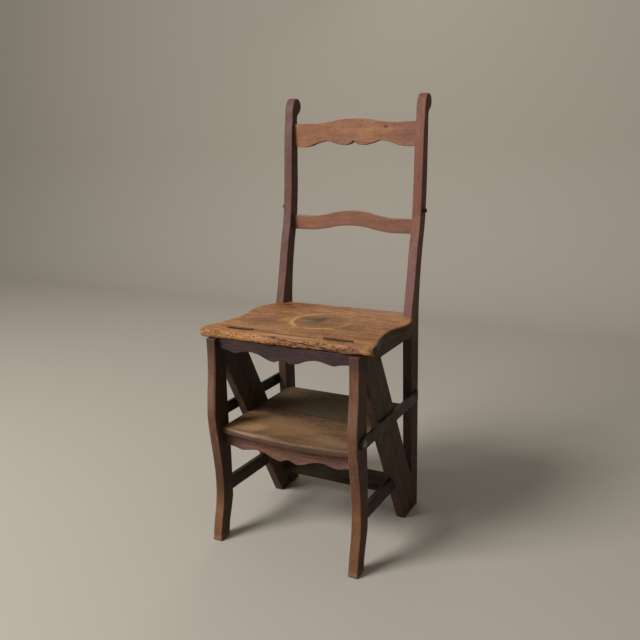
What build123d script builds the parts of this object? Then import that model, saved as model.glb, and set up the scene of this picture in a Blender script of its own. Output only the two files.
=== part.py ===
from build123d import *
from math import atan2, cos, degrees, hypot, radians, sin, tan
import os

os.makedirs("parts", exist_ok=True)

# Whole chair, in millimetres. +Z is up, the sitter faces -Y, and the origin lies on the floor
# under the middle. A setback is measured back from the toes of the front legs.
hinge_height = 455.0  # floor to the hinge pins; the posts reach twice as high
frame_width = 332.0  # over the outer faces of legs, strings and posts
foot_spread = 336.0  # toes to the back of the rear feet
post_rake = 50.0  # back of the rear feet to the back of the scrolls
hinge_setback = 46.5  # toes to the hinge pins
stock = 20.0  # thickness of the boards of legs, posts and strings
arris = 1.5  # worn edge along a board
seam_gap = 0.8  # between the two halves, along the slanting seam
fit = 0.2  # play all round a tenon or a dowel
board_play = 0.3  # at each end of a board of the back half
overrun = 2.0  # how far a cutting shape runs past a face
straight_share = 0.999999  # cosine above which a stretch of outline counts as straight

# Seat
hinge_lift = 0.5  # pins above the seat's top
seat_thickness = 18.0
seat_front_setback = 15.0  # toes to the nosing
seat_front_overhang = 24.0  # front corners beyond the frame, each side
seat_waist_overhang = 5.0
seat_hip_overhang = 18.0
seat_back_lap = 21.0  # front of the posts to the seat's back edge
seat_corner_radius = 14.0
seat_wave = 4.0  # depth of the hollows in the nosing
nosing_radius = 6.0
seam_half_gap = 0.6  # seat board to the hinge line, each side
seat_rail_height = 26.5
rear_rail_height = 36.0
rear_rail_thickness = 16.0
side_share = 0.40  # where the waist lies, as a share of hinge line to post
hip_share = 0.80

# Front legs
leg_reach = 52.0  # toes to the back of the calf
leg_past_hinge = 0.5  # hinge pins to the straight back edge under the seat
leg_front_shares = (  # height share, reach share
    (0.0, 0.0), (0.08, 0.12), (0.19, 0.32), (0.29, 0.37), (0.40, 0.29),
    (0.52, 0.14), (0.63, 0.035), (0.72, 0.08), (0.83, 0.19), (1.0, 0.20),
)
leg_calf_shares = (0.206, 0.39)  # straight stretch of the back edge
leg_knee_share = 0.756  # where the straight back under the seat ends
leg_hollow_shares = (0.57, 0.933)
leg_heel_shares = ((0.14, 0.88), (0.07, 0.70), (0.0, 0.62))
foot_wear = 2.0  # bevel worn round the sole of a front foot

# Rear posts
rear_foot_depth = 38.5
rear_leg_taper = 14.5  # how far the front edge comes forward from the foot to the seat
post_seat_depth = 43.5  # front to back where the seat meets it
post_front_shares = (  # share of the chair's height, share of the depth from the seat to the scroll's back
    (0.574, 0.157), (0.645, 0.284), (0.703, 0.416), (0.775, 0.494),
    (0.857, 0.535), (0.923, 0.577),
)
post_brow_share = 0.618  # depth where the front edge starts to round over
post_back_shares = (
    (0.5275, 0.434), (0.582, 0.487), (0.648, 0.595), (0.709, 0.723),
    (0.775, 0.786), (0.868, 0.814), (0.93, 0.822),
)
scroll_radius = 17.0
scroll_throat_radius = 16.0  # of the hollow under the scroll
scroll_brow_height = 40.0  # over which the front edge rounds over into the scroll
head_round = 5.0  # of the scroll's two upper corners, seen from the front

# Strings, the slanting boards; the seam between them passes through the hinge pins
seam_foot_gap = 0.9  # seam to the front of the rear feet, at the floor
front_string_width = 35.0
back_string_width = 38.0
back_string_low = 24.0  # floor to the low end
string_headroom = 1.0  # front string under the turning seat

# Treads
tread_height = 248.0  # floor to the top of both middle boards
tread_thickness = 14.0
tread_front_setback = 24.0  # toes to the front edge at the legs
tread_bow = 15.0  # how far the middle stands forward of the ends
tread_round = 5.0
tread_back_lap = 20.0  # front of the posts at the seat to the upper tread's back edge
top_tread_height = 60.0
top_tread_reach = 36.5  # how far it stands forward of the rear feet
top_tread_inset = 3.0  # back of the rear feet to its back edge

# Shaped rails
apron_setback = 24.0
apron_thickness = 14.0
apron_end_depth = 20.5
tread_apron_setback = 37.0
tread_apron_thickness = 12.0
tread_apron_end_depth = 29.0
scallop_depth = 13.7
apron_edge_shares = (  # share of the half length, share of the scallop; the middle comes first
    (0.0, 0.55), (0.055, 0.72), (0.125, 1.0), (0.22, 0.82), (0.37, 0.22), (0.53, 0.0),
    (0.64, 0.22), (0.74, 0.42), (0.85, 0.16), (1.0, 0.0),
)
crest_inset = 11.5  # front of the posts to the crest rail's face
crest_thickness = 14.0
crest_drop = 56.5  # top of the posts to the crest rail's ends
crest_end_height = 49.5
crest_rise = 9.0
crest_scallop = 11.5
crest_top_shares = ((0.0, 1.0), (0.16, 0.94), (0.40, 0.35), (0.62, 0.0), (0.8, 0.0), (1.0, 0.0))
crest_edge_shares = (
    (0.0, 1.0), (0.04, 0.6), (0.13, 0.2), (0.27, 0.45), (0.43, 1.0),
    (0.58, 0.72), (0.76, 0.0), (1.0, 0.0),
)
back_rail_inset = 17.5  # front of the posts to the back rail's face
back_rail_thickness = 10.0
back_rail_lift = 195.5  # hinge pins to the back rail's top at its ends
back_rail_height = 31.0
back_rail_rise = 14.0
back_rail_under_rise = 12.5
back_rail_shares = ((0.0, 1.0), (0.2, 0.86), (0.42, 0.34), (0.64, 0.0), (0.82, 0.0), (1.0, 0.0))
low_rail_lift = 5.0  # low end of the straight calf to the low side rail
low_rail_height = 17.0
low_rail_thickness = 14.0

# Joinery
tenon_length = 12.0
stub_tenon_length = 6.0  # where a tenon from another side comes close
tenon_thickness = 6.0
tenon_shoulder = 4.0
side_tenon_length = 8.0  # of the rails that run front to back
dowel_diameter = 6.0
dowel_length = 20.0
tread_tenon_width = 16.0
strip_dowel_setback = 40.0
panel_dowel_shares = (0.25, 0.8)  # along the seat rail

# Butt hinges
hinge_inset = 38.0  # inner face of the legs to the hinge's middle
hinge_length = 57.5
knuckle_count = 5
knuckle_radius = 2.8
knuckle_gap = 0.3
leaf_thickness = 2.0
leaf_margin = 3.0  # seat's underside to the leaf's free edge
leaf_gap = 0.3  # each leaf to the plane of the pins
pin_radius = 1.2
pin_head_radius = 2.0
pin_head_length = 1.2
bore_play = 0.1
hinge_pocket_play = 0.3
screw_spacing = 20.0
screw_count = 3
screw_radius = 1.2
screw_head_radius = 2.2
screw_length = 12.0

# Hook bars and what holds them
bar_width = 25.0
bar_thickness = 4.5
bar_standoff = 1.0  # outer face of the frame to the bar
pivot_before_hinge = 22.5  # pivots to the hinge pins, front to back
pivot_drop = 186.0  # hinge pins to the pivots
pivot_radius = 3.0
pivot_head_radius = 6.5
pivot_head_height = 3.6
washer_radius = 7.5
washer_play = 0.1
leg_stud_inset = 12.3  # front of the rear legs to the leg studs
leg_stud_drop = 178.0  # hinge pins to the leg studs
post_stud_rise = 215.0  # hinge pins to the post studs
stud_radius = 3.0
stud_head_radius = 5.0
stud_head_height = 2.5
stud_depth = 12.0  # how far studs and pivot screws go into the wood
stud_play = 0.5
bar_tail = 15.5  # leg stud to the bar's end
bar_corner = 4.0

# Worked out from the sizes above
chair_height = 2 * hinge_height
overall_depth = foot_spread + post_rake
half_width = frame_width / 2
inner = half_width - stock
middle_of_stock = half_width - stock / 2
toe_y = -overall_depth / 2
hinge_y = toe_y + hinge_setback
seat_top = hinge_height - hinge_lift
seat_under = seat_top - seat_thickness
rail_under = seat_under - seat_rail_height
tread_under = tread_height - tread_thickness
top_tread_under = top_tread_height - tread_thickness
leg_back_y = hinge_y + leg_past_hinge
foot_back_y = toe_y + foot_spread
foot_front_y = foot_back_y - rear_foot_depth
post_front_y = foot_front_y - rear_leg_taper
post_run = toe_y + overall_depth - post_front_y
seat_back_y = post_front_y + seat_back_lap
lean = atan2(foot_front_y - seam_foot_gap - hinge_y, hinge_height)
bar_x = half_width + bar_standoff
stud_head_x = bar_x + bar_thickness + stud_play

sides = ((1, "right"), (-1, "left"))


def seam_y(z, offset=0.0):
    """Depth of the slanting seam at height z, or of a line beside it; the back half is positive."""
    return hinge_y + (hinge_height - z) * tan(lean) + offset / cos(lean)


def post_point(share):
    """A point of the raked post, from its shares of the height and of the depth."""
    return (post_front_y + share[1] * post_run, share[0] * chair_height)


def post_line_y(z):
    """Front edge of the rear leg and post at height z, straight between the points of its outline."""
    points = [(foot_front_y, 0), (post_front_y, rail_under), (post_front_y, seat_top)]
    points += [post_point(share) for share in post_front_shares]
    for (low_y, low_z), (high_y, high_z) in zip(points, points[1:]):
        if z <= high_z:
            return low_y + (high_y - low_y) * (z - low_z) / (high_z - low_z)
    return points[-1][0]


def seam_height(y, offset):
    """Height at which a line beside the seam reaches depth y."""
    return hinge_height - (y - hinge_y - offset / cos(lean)) / tan(lean)


# The post stud lands as far from the pivot as the leg stud is, once the back is turned over.
pivot = (hinge_y - pivot_before_hinge, hinge_height - pivot_drop)
leg_stud_z = hinge_height - leg_stud_drop
leg_stud = (post_line_y(leg_stud_z) + leg_stud_inset, leg_stud_z)
stud_reach = hypot(leg_stud[0] - pivot[0], leg_stud[1] - pivot[1])
landed_height = hinge_height - post_stud_rise
landed_y = pivot[0] - (stud_reach**2 - (landed_height - pivot[1]) ** 2) ** 0.5
post_stud = (2 * hinge_y - landed_y, hinge_height + post_stud_rise)
stud_angle = degrees(atan2(leg_stud[1] - pivot[1], leg_stud[0] - pivot[0]))
landed_angle = degrees(atan2(landed_height - pivot[1], landed_y - pivot[0]))
bar_swing = landed_angle - stud_angle - (360 if landed_angle > stud_angle else 0)

# Places of the rails and hinges
crest_top = chair_height - crest_drop
crest_y = post_line_y(crest_top - crest_end_height / 2) + crest_inset
back_rail_top = hinge_height + back_rail_lift
back_rail_y = post_line_y(back_rail_top - back_rail_height / 2) + back_rail_inset
low_rail_bottom = leg_calf_shares[0] * seat_under + low_rail_lift
hinge_center_x = inner - hinge_inset
leaf_height = seat_thickness + hinge_lift - leaf_margin
screw_drop = (knuckle_radius + knuckle_gap + leaf_height) / 2


def shaped_edge(shares, base, depth, notched=False):
    """Runs of points along a shaped rail edge, end to end; a notch parts it in the middle."""
    right = [(x_share * inner, base + share * depth) for x_share, share in shares]
    left = [(-x, z) for x, z in reversed(right)]
    return [left, right] if notched else [left + right[1:]]


def arcs(points, start=None, end=None):
    """Tangent arcs through the points, two to a span; an end with no direction given gets one arc."""
    places = [Vector(*point) for point in points]
    chords = [after - here for here, after in zip(places, places[1:])]
    ways = [
        (back.normalized() * on.length + on.normalized() * back.length).normalized()
        for back, on in zip(chords, chords[1:])
    ]
    first, last = chords[0].normalized(), chords[-1].normalized()
    ways.insert(0, Vector(*start).normalized() if start else first * 2 * first.dot(ways[0]) - ways[0])
    ways.append(Vector(*end).normalized() if end else last * 2 * last.dot(ways[-1]) - ways[-1])
    for here, after, chord, way, next_way in zip(places, places[1:], chords, ways, ways[1:]):
        along = chord.dot(way + next_way)
        if along > 2 * straight_share * chord.length:
            Line(here, after)
            continue
        turn = 2 * (1 - way.dot(next_way))
        reach = chord.length**2 / (along + (along**2 + turn * chord.length**2) ** 0.5)
        middle = (here + after + (way - next_way) * reach) / 2
        TangentArc(here, middle, tangent=way)
        TangentArc(middle, after, tangent=middle - here - way * reach)


def save(builder, name):
    builder.part.label = name
    export_step(builder.part, f"parts/{name}.step")


def long_edges(builder, low, high):
    """The edges of both side faces between two heights."""
    return builder.faces().filter_by(Axis.X).edges().filter_by_position(Axis.Z, low, high)


# Tenons as (depth, height, size in depth, size in height) at the inner faces of the sides
apron_tenon = (
    toe_y + apron_setback + apron_thickness / 2, seat_under - apron_end_depth / 2,
    tenon_thickness, apron_end_depth - 2 * tenon_shoulder,
)
tread_apron_tenon = (
    toe_y + tread_apron_setback + tread_apron_thickness / 2, tread_under - tread_apron_end_depth / 2,
    tenon_thickness, tread_apron_end_depth - 2 * tenon_shoulder,
)
tread_middle = (tread_height + tread_under) / 2
leg_tread_tenon = (
    (toe_y + tread_front_setback + leg_back_y) / 2, tread_middle,
    leg_back_y - toe_y - tread_front_setback - 2 * tenon_shoulder, tenon_thickness,
)
front_string_tenon = (
    seam_y(tread_middle, -front_string_width / 2), tread_middle, tread_tenon_width, tenon_thickness,
)
back_string_tenon = (
    seam_y(tread_middle, back_string_width / 2), tread_middle, tread_tenon_width, tenon_thickness,
)
top_tread_tenon = (
    (foot_front_y + foot_back_y - top_tread_inset) / 2, (top_tread_height + top_tread_under) / 2,
    tread_tenon_width, tenon_thickness,
)
rear_rail_tenon = (
    seat_back_y - rear_rail_thickness / 2, seat_under - rear_rail_height / 2,
    tenon_thickness, rear_rail_height - 2 * tenon_shoulder,
)
back_rail_tenon = (
    back_rail_y + back_rail_thickness / 2, back_rail_top - back_rail_height / 2,
    tenon_thickness, back_rail_height - 2 * tenon_shoulder,
)
crest_tenon = (
    crest_y + crest_thickness / 2, crest_top - crest_end_height / 2,
    tenon_thickness, crest_end_height - 2 * tenon_shoulder,
)


def add_tenons(tenons, reach=tenon_length, end=inner):
    """Tenons at both ends of a crosswise piece, inside its block."""
    for y, z, deep, high in tenons:
        length = inner + reach - end
        with Locations(*[(side * (end + length / 2), y, z) for side, _ in sides]):
            Box(length, deep, high)


def cut_mortises(side, tenons, reach=tenon_length):
    """The sockets for those tenons in one side piece, inside its block."""
    depth = reach + 2 * fit
    for y, z, deep, high in tenons:
        with Locations((side * (inner + reach / 2), y, z)):
            Box(depth, deep + 2 * fit, high + 2 * fit, mode=Mode.SUBTRACT)


for side, hand in sides:
    # Front leg: curved board, knee forward and a toe that kicks out
    with BuildPart() as front_leg:
        with BuildSketch(Plane.YZ.offset(side * inner)):
            with BuildLine():
                front = [
                    (toe_y + reach * leg_reach, share * seat_under) for share, reach in leg_front_shares
                ]
                arcs(front)
                knee = (leg_back_y, leg_knee_share * seat_under)
                calf_top = (toe_y + leg_reach, leg_calf_shares[1] * seat_under)
                calf_low = (toe_y + leg_reach, leg_calf_shares[0] * seat_under)
                hollow = (
                    toe_y + leg_hollow_shares[1] * leg_reach, leg_hollow_shares[0] * seat_under,
                )
                heel = [(toe_y + reach * leg_reach, share * seat_under) for share, reach in leg_heel_shares]
                Line(front[-1], (leg_back_y, seat_under))
                Line((leg_back_y, seat_under), knee)
                arcs((knee, hollow, calf_top), (0, -1), (0, -1))
                Line(calf_top, calf_low)
                arcs((calf_low, *heel), (0, -1))
                Line(heel[-1], front[0])
            make_face()
        extrude(amount=side * stock)
        chamfer(front_leg.faces().sort_by(Axis.Z)[0].edges(), foot_wear)
        fillet(long_edges(front_leg, foot_wear + arris, seat_under - arris), arris)
        cut_mortises(side, (tread_apron_tenon, leg_tread_tenon))
        cut_mortises(side, (apron_tenon,), stub_tenon_length)
        rail_middle = low_rail_bottom + low_rail_height / 2
        with Locations((side * middle_of_stock, toe_y + leg_reach - side_tenon_length / 2, rail_middle)):
            Box(
                tenon_thickness + 2 * fit, side_tenon_length + 2 * fit,
                low_rail_height - 2 * tenon_shoulder + 2 * fit, mode=Mode.SUBTRACT,
            )
        with Locations((side * middle_of_stock, toe_y + strip_dowel_setback, seat_under)):
            Cylinder(dowel_diameter / 2, dowel_length + 2 * fit, mode=Mode.SUBTRACT)
        with Locations(Plane((side * half_width, *pivot), z_dir=(side, 0, 0))):
            Cylinder(pivot_radius + fit, 2 * stud_depth, mode=Mode.SUBTRACT)
    save(front_leg, f"front_leg_{hand}")

    # Front string: the lower slanting board, scribed to the back of the leg
    with BuildPart() as front_string:
        string_top = seat_under - string_headroom
        low_edge = -(seam_gap / 2 + front_string_width)
        with BuildSketch(Plane.YZ.offset(side * inner)):
            with BuildLine():
                Polyline(
                    (seam_y(0, low_edge), 0),
                    (seam_y(0, -seam_gap / 2), 0),
                    (seam_y(string_top, -seam_gap / 2), string_top),
                    (leg_back_y, string_top),
                    (leg_back_y, seam_height(leg_back_y, low_edge)),
                    close=True,
                )
            make_face()
        extrude(amount=side * stock)
        fillet(front_string.edges().filter_by(Axis((0, 0, 0), (0, -sin(lean), cos(lean)))), arris)
        cut_mortises(side, (front_string_tenon,))
    save(front_string, f"front_string_{hand}")

    # Low side rail: from the calf of the leg to the front string
    with BuildPart() as low_rail:
        rail_top = low_rail_bottom + low_rail_height
        with BuildSketch(Plane.YZ.offset(side * middle_of_stock)):
            with BuildLine():
                Polyline(
                    (toe_y + leg_reach, low_rail_bottom),
                    (seam_y(low_rail_bottom, low_edge), low_rail_bottom),
                    (seam_y(rail_top, low_edge), rail_top),
                    (toe_y + leg_reach, rail_top),
                    close=True,
                )
            make_face()
        extrude(amount=low_rail_thickness / 2, both=True)
        fillet(low_rail.edges().filter_by(Axis.Y), arris)
        with Locations((side * middle_of_stock, toe_y + leg_reach - side_tenon_length / 2, rail_middle)):
            Box(tenon_thickness, side_tenon_length, low_rail_height - 2 * tenon_shoulder)
    save(low_rail, f"low_side_rail_{hand}")

    # Rear post: straight leg below the seat, raked back above it, with a scroll at the top
    with BuildPart() as rear_post:
        scroll = (toe_y + overall_depth - scroll_radius, chair_height - scroll_radius)
        brow = (post_front_y + post_brow_share * post_run, chair_height - scroll_brow_height)
        neck_y = post_point(post_back_shares[-1])[0]
        throat_y = neck_y + scroll_throat_radius
        between = scroll_radius + scroll_throat_radius
        throat_z = scroll[1] - (between**2 - (throat_y - scroll[0]) ** 2) ** 0.5
        throat_angle = degrees(atan2(throat_z - scroll[1], throat_y - scroll[0]))
        with BuildSketch(Plane.YZ.offset(side * inner)):
            with BuildLine():
                fronts = [post_point(share) for share in post_front_shares]
                backs = [post_point(share) for share in post_back_shares]
                seat_corner = (post_front_y, seat_top)
                Polyline((foot_front_y, 0), (post_front_y, rail_under), seat_corner)
                arcs((seat_corner, *fronts, brow), end=(0, 1))
                EllipticalCenterArc(
                    (scroll[0], brow[1]), scroll[0] - brow[0], scroll_brow_height,
                    start_angle=90, arc_size=90,
                )
                CenterArc(scroll, scroll_radius, throat_angle, 90 - throat_angle)
                CenterArc(
                    (throat_y, throat_z), scroll_throat_radius, 180, throat_angle,
                )
                seat_back = (post_front_y + post_seat_depth, rail_under)
                arcs((seat_back, *backs, (neck_y, throat_z)), (0, 1), (0, 1))
                Polyline(seat_back, (foot_back_y, 0), (foot_front_y, 0))
            make_face()
        extrude(amount=side * stock)
        fillet(long_edges(rear_post, arris, chair_height), arris)
        corners = [(side * (half_width - head_round), side), (side * (inner + head_round), -side)]
        with BuildSketch(Plane.XZ.offset(-toe_y - overall_depth - overrun)):
            for x, way in corners:
                with Locations((x + way * head_round, chair_height)):
                    Rectangle(2 * head_round, 2 * head_round)
            for x, way in corners:
                with Locations((x, chair_height - head_round)):
                    Circle(head_round, mode=Mode.SUBTRACT)
        extrude(amount=post_run, mode=Mode.SUBTRACT)
        cut_mortises(side, (top_tread_tenon, back_rail_tenon, crest_tenon))
        cut_mortises(side, (rear_rail_tenon,), stub_tenon_length)
        rail_center = (rail_under + seat_under) / 2
        with Locations((side * middle_of_stock, post_front_y + side_tenon_length / 2, rail_center)):
            Box(
                tenon_thickness + 2 * fit, side_tenon_length + 2 * fit,
                seat_rail_height - 2 * tenon_shoulder + 2 * fit, mode=Mode.SUBTRACT,
            )
        for stud in (leg_stud, post_stud):
            with Locations(Plane((side * half_width, *stud), z_dir=(side, 0, 0))):
                Cylinder(stud_radius + fit, 2 * stud_depth, mode=Mode.SUBTRACT)
    save(rear_post, f"rear_post_{hand}")

    # Back string: the upper slanting board, under the seat rail and against the rear leg
    with BuildPart() as back_string:
        back_edge = seam_gap / 2 + back_string_width
        low_y = post_line_y(back_string_low)
        # where the board's back edge runs into the leg's front edge
        leg_slope = rear_leg_taper / rail_under
        meet = (seam_y(0, back_edge) - foot_front_y) / (tan(lean) - leg_slope)
        with BuildSketch(Plane.YZ.offset(side * inner)):
            with BuildLine():
                Polyline(
                    (seam_y(back_string_low, seam_gap / 2), back_string_low),
                    (low_y, back_string_low),
                    (post_line_y(meet), meet),
                    (seam_y(rail_under, back_edge), rail_under),
                    (seam_y(rail_under, seam_gap / 2), rail_under),
                    close=True,
                )
            make_face()
        extrude(amount=side * stock)
        fillet(back_string.edges().filter_by(Axis((0, 0, 0), (0, -sin(lean), cos(lean)))), arris)
        cut_mortises(side, (back_string_tenon,))
    save(back_string, f"back_string_{hand}")

    # Seat rail: under the side of the turning seat, from the seam to the post
    rail_front = seam_y(seat_under, seam_gap / 2)
    dowel_places = [rail_front + share * (post_front_y - rail_front) for share in panel_dowel_shares]
    with BuildPart() as seat_rail:
        with BuildSketch(Plane.YZ.offset(side * inner)):
            with BuildLine():
                Polyline(
                    (seam_y(rail_under, seam_gap / 2), rail_under),
                    (post_front_y, rail_under),
                    (post_front_y, seat_under),
                    (rail_front, seat_under),
                    close=True,
                )
            make_face()
        extrude(amount=side * stock)
        fillet(seat_rail.edges().filter_by(Axis.Y).group_by(Axis.Z)[0], arris)
        with Locations((side * middle_of_stock, post_front_y + side_tenon_length / 2, rail_center)):
            Box(tenon_thickness, side_tenon_length, seat_rail_height - 2 * tenon_shoulder)
        with Locations(*[(side * middle_of_stock, y, seat_under) for y in dowel_places]):
            Cylinder(dowel_diameter / 2, dowel_length + 2 * fit, mode=Mode.SUBTRACT)
    save(seat_rail, f"seat_rail_{hand}")

    # Hinge leaves: knuckles turn about the pin, leaves hang down in the seam
    knuckle_pitch = hinge_length / knuckle_count
    screw_places = [(i - (screw_count - 1) / 2) * screw_spacing for i in range(screw_count)]
    for facing, half_name in ((-1, "front"), (1, "rear")):
        with BuildPart() as leaf:
            leaf_y = hinge_y + facing * (leaf_gap + leaf_thickness / 2)
            plate_top = hinge_height - knuckle_radius - knuckle_gap
            plate_low = hinge_height - leaf_height
            with Locations((side * hinge_center_x, leaf_y, (plate_top + plate_low) / 2)):
                Box(hinge_length, leaf_thickness, plate_top - plate_low)
            first = 0 if facing < 0 else 1
            own = [
                side * hinge_center_x + (i + 0.5) * knuckle_pitch - hinge_length / 2
                for i in range(first, knuckle_count, 2)
            ]
            with Locations(*[(x, leaf_y, (plate_top + hinge_height) / 2) for x in own]):
                Box(knuckle_pitch - knuckle_gap, leaf_thickness, hinge_height - plate_top)
            with Locations(*[Plane((x, hinge_y, hinge_height), z_dir=(1, 0, 0)) for x in own]):
                Cylinder(knuckle_radius, knuckle_pitch - knuckle_gap)
            with Locations(Plane((side * hinge_center_x, hinge_y, hinge_height), z_dir=(1, 0, 0))):
                Cylinder(pin_radius + bore_play, hinge_length, mode=Mode.SUBTRACT)
            with Locations(*[
                Plane(
                    (side * hinge_center_x + x, hinge_y + facing * leaf_gap, hinge_height - screw_drop),
                    z_dir=(0, -facing, 0),
                )
                for x in screw_places
            ]):
                CounterSinkHole(screw_radius + bore_play, screw_head_radius + bore_play)
        save(leaf, f"hinge_leaf_{half_name}_{hand}")

    # Hinge pin with a small head at each end
    with BuildPart() as hinge_pin:
        with Locations(Plane((side * hinge_center_x, hinge_y, hinge_height), z_dir=(1, 0, 0))):
            Cylinder(pin_radius, hinge_length + 2 * fit)
        ends = [
            side * hinge_center_x + end * (hinge_length / 2 + fit + pin_head_length / 2)
            for end in (1, -1)
        ]
        with Locations(*[Plane((x, hinge_y, hinge_height), z_dir=(1, 0, 0)) for x in ends]):
            Cylinder(pin_head_radius, pin_head_length)
    save(hinge_pin, f"hinge_pin_{hand}")

    # Hook bar: flat iron with an eye at the pivot and a notch that drops over either stud
    with BuildPart() as hook_bar:
        bar_end = leg_stud[0] + bar_tail
        slot_half = stud_radius + stud_play
        bar_top = pivot[1] + bar_width / 2
        way_out = atan2(leg_stud[0] - hinge_y, hinge_height - leg_stud[1])
        with BuildSketch(Plane.YZ.offset(side * bar_x)):
            with BuildLine():
                eye = CenterArc(pivot, bar_width / 2, 90, 180)
                Line(eye @ 0, (bar_end, bar_top))
                Line((bar_end, bar_top), (bar_end, bar_top - bar_width))
                Line((bar_end, bar_top - bar_width), eye @ 1)
            make_face()
            fillet(vertices().group_by(Axis.X)[-1], bar_corner)
            with Locations(leg_stud):
                Circle(slot_half, mode=Mode.SUBTRACT)
            # The notch opens upwards, and backwards along the path of the stud.
            rise_out = bar_top + overrun - leg_stud[1]
            slant = rise_out / tan(way_out)
            with BuildLine():
                Polyline(
                    (leg_stud[0] - slot_half, leg_stud[1]),
                    (leg_stud[0] - slot_half, leg_stud[1] + rise_out),
                    (leg_stud[0] + slant + slot_half / sin(way_out), leg_stud[1] + rise_out),
                    (leg_stud[0] + slot_half * sin(way_out), leg_stud[1] - slot_half * cos(way_out)),
                    close=True,
                )
            make_face(mode=Mode.SUBTRACT)
            with Locations(pivot):
                Circle(pivot_radius + bore_play, mode=Mode.SUBTRACT)
        extrude(amount=side * bar_thickness)
    save(hook_bar, f"hook_bar_{hand}")


def shaped_rail(y, thickness, upper, lower):
    """A crosswise board between two shaped or straight edges, inside its block."""
    with BuildSketch(Plane.XZ.offset(-y)) as outline:
        with BuildLine():
            for run in upper + lower:
                if len(run) > 2:
                    arcs(run)
                else:
                    Line(*run)
            Line(upper[-1][-1], lower[-1][-1])
            Line(upper[0][0], lower[0][0])
        make_face()
    extrude(outline.sketch, amount=-thickness)


# Front apron, scalloped along its lower edge
with BuildPart() as front_apron:
    shaped_rail(
        toe_y + apron_setback, apron_thickness,
        [[(-inner, seat_under), (inner, seat_under)]],
        shaped_edge(apron_edge_shares, seat_under - apron_end_depth, -scallop_depth, True),
    )
    fillet(front_apron.edges().filter_by(Axis.X).group_by(Axis.Z)[-1].group_by(Axis.Y)[0], arris)
    add_tenons((apron_tenon,), stub_tenon_length)
save(front_apron, "front_apron")

# Tread apron, to the same pattern
with BuildPart() as tread_apron:
    shaped_rail(
        toe_y + tread_apron_setback, tread_apron_thickness,
        [[(-inner, tread_under), (inner, tread_under)]],
        shaped_edge(apron_edge_shares, tread_under - tread_apron_end_depth, -scallop_depth, True),
    )
    add_tenons((tread_apron_tenon,))
save(tread_apron, "tread_apron")

# Crest rail, rising in the middle over two lobes and a notch
with BuildPart() as crest_rail:
    shaped_rail(
        crest_y, crest_thickness,
        shaped_edge(crest_top_shares, crest_top, crest_rise),
        shaped_edge(crest_edge_shares, crest_top - crest_end_height, crest_scallop, True),
    )
    add_tenons((crest_tenon,))
save(crest_rail, "crest_rail")

# Back rail, arched
with BuildPart() as back_rail:
    shaped_rail(
        back_rail_y, back_rail_thickness,
        shaped_edge(back_rail_shares, back_rail_top, back_rail_rise),
        shaped_edge(back_rail_shares, back_rail_top - back_rail_height, back_rail_under_rise),
    )
    add_tenons((back_rail_tenon,))
save(back_rail, "back_rail")

# Rear seat rail, under the back edge of the seat
with BuildPart() as rear_seat_rail:
    with Locations((0, rear_rail_tenon[0], rear_rail_tenon[1])):
        Box(2 * inner, rear_rail_thickness, rear_rail_height)
    fillet(rear_seat_rail.edges().filter_by(Axis.X).group_by(Axis.Z)[0], arris)
    add_tenons((rear_rail_tenon,), stub_tenon_length)
save(rear_seat_rail, "rear_seat_rail")

# Lower tread: the front board, bowed between the front legs
with BuildPart() as lower_tread:
    tread_seam = seam_y(tread_height, -seam_gap / 2)
    front_y = toe_y + tread_front_setback
    with BuildSketch(Plane.XY.offset(tread_under)):
        with BuildLine():
            bow = ThreePointArc((-inner, front_y), (0, front_y - tread_bow), (inner, front_y))
            Polyline(bow @ 0, (-inner, tread_seam), (inner, tread_seam), bow @ 1)
        make_face()
    extrude(amount=tread_thickness)
    nose = lower_tread.edges().filter_by(GeomType.CIRCLE)
    fillet(nose, tread_round)
    fillet(lower_tread.edges().filter_by(Axis.X).group_by(Axis.Z)[-1], arris)
    add_tenons((leg_tread_tenon, front_string_tenon))
save(lower_tread, "lower_tread")

# Upper tread: the rear board, a step once the back is turned over
with BuildPart() as upper_tread:
    board_half = inner - board_play
    upper_front = tread_seam + seam_gap
    upper_back = post_front_y + tread_back_lap
    with Locations((0, (upper_front + upper_back) / 2, tread_middle)):
        Box(2 * board_half, upper_back - upper_front, tread_thickness)
    fillet(upper_tread.edges().filter_by(Axis.X), arris)
    add_tenons((back_string_tenon,), end=board_half)
save(upper_tread, "upper_tread")

# Top tread: the board near the floor, the highest step once the back is turned over
with BuildPart() as top_tread:
    low, high = foot_front_y - top_tread_reach, foot_back_y - top_tread_inset
    with Locations((0, (low + high) / 2, top_tread_tenon[1])):
        Box(2 * board_half, high - low, tread_thickness)
    fillet(top_tread.edges().filter_by(Axis.X).group_by(Axis.Y)[0], tread_round)
    add_tenons((top_tread_tenon,), end=board_half)
save(top_tread, "top_tread")

# Plan of the seat's sides: front corner, waist and hip
corner_x = half_width + seat_front_overhang
waist_x = half_width + seat_waist_overhang
hip_x = half_width + seat_hip_overhang
waist_y = hinge_y + side_share * (post_front_y - hinge_y)
hip_y = hinge_y + hip_share * (post_front_y - hinge_y)
strip_back = hinge_y - seam_half_gap
panel_front = hinge_y + seam_half_gap
nosing_y = toe_y + seat_front_setback
corner_y = nosing_y + seat_corner_radius
side_slope_share = 0.55  # how fast the sides draw in at the hinge line
joint_x = corner_x - side_slope_share * (hinge_y - corner_y) * (corner_x - waist_x) / (waist_y - corner_y)


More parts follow.
